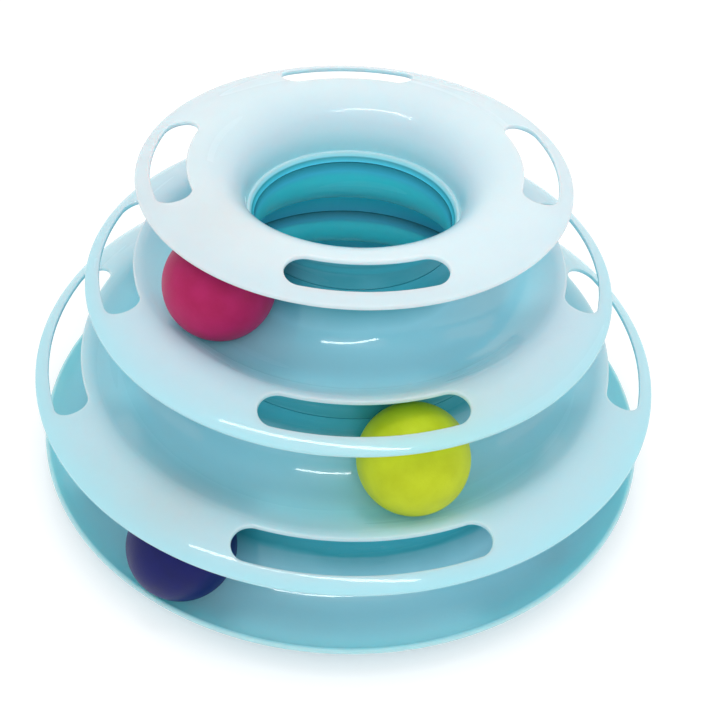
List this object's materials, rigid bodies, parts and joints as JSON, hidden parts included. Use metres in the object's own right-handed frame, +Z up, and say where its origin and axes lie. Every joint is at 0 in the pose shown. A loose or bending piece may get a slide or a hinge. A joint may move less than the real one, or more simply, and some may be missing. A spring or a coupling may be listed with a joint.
{
  "type": "cat ball track toy",
  "caption": "Round tower of stacked, slotted aqua plastic tracks on a hollow hub, with a coloured ball running round each track for a cat to chase.",
  "frame": {"origin": "on the floor under the middle of the toy, on the hub's axis", "axes": "+Z up along the hub's axis, -Y towards the front of the picture, +X to its right"},
  "size_m": [0.2514, 0.2514, 0.1332],
  "materials": {
    "aqua_plastic": "gloss",
    "blue_ball_plastic": "satin",
    "yellow_ball_plastic": "satin",
    "pink_ball_plastic": "satin",
    "foot_rubber": "matte"
  },
  "bodies": {
    "base": {"base_tray": "aqua_plastic", "foot_pad_front_left": "foot_rubber", "foot_pad_front_right": "foot_rubber", "foot_pad_back_right": "foot_rubber", "foot_pad_back_left": "foot_rubber"},
    "lower_tier": {"lower_tier": "aqua_plastic"},
    "middle_tier": {"middle_tier": "aqua_plastic"},
    "top_tier": {"top_tier": "aqua_plastic"},
    "ball_blue": {"ball_blue": "blue_ball_plastic"},
    "ball_yellow": {"ball_yellow": "yellow_ball_plastic"},
    "ball_pink": {"ball_pink": "pink_ball_plastic"}
  },
  "joints": [
    {"name": "lower_lift", "type": "slide", "parent": "base", "child": "lower_tier", "axis": [0, 0, 1], "range_m": [0, 0.06]},
    {"name": "middle_lift", "type": "slide", "parent": "lower_tier", "child": "middle_tier", "axis": [0, 0, 1], "range_m": [0, 0.06]},
    {"name": "top_lift", "type": "slide", "parent": "middle_tier", "child": "top_tier", "axis": [0, 0, 1], "range_m": [0, 0.06]},
    {"name": "blue_run", "type": "hinge", "parent": "base", "child": "ball_blue", "pos_m": [0, 0, 0], "axis": [0, 0, 1], "continuous": true},
    {"name": "yellow_run", "type": "hinge", "parent": "lower_tier", "child": "ball_yellow", "pos_m": [0, 0, 0], "axis": [0, 0, 1], "continuous": true},
    {"name": "pink_run", "type": "hinge", "parent": "middle_tier", "child": "ball_pink", "pos_m": [0, 0, 0], "axis": [0, 0, 1], "continuous": true}
  ]
}
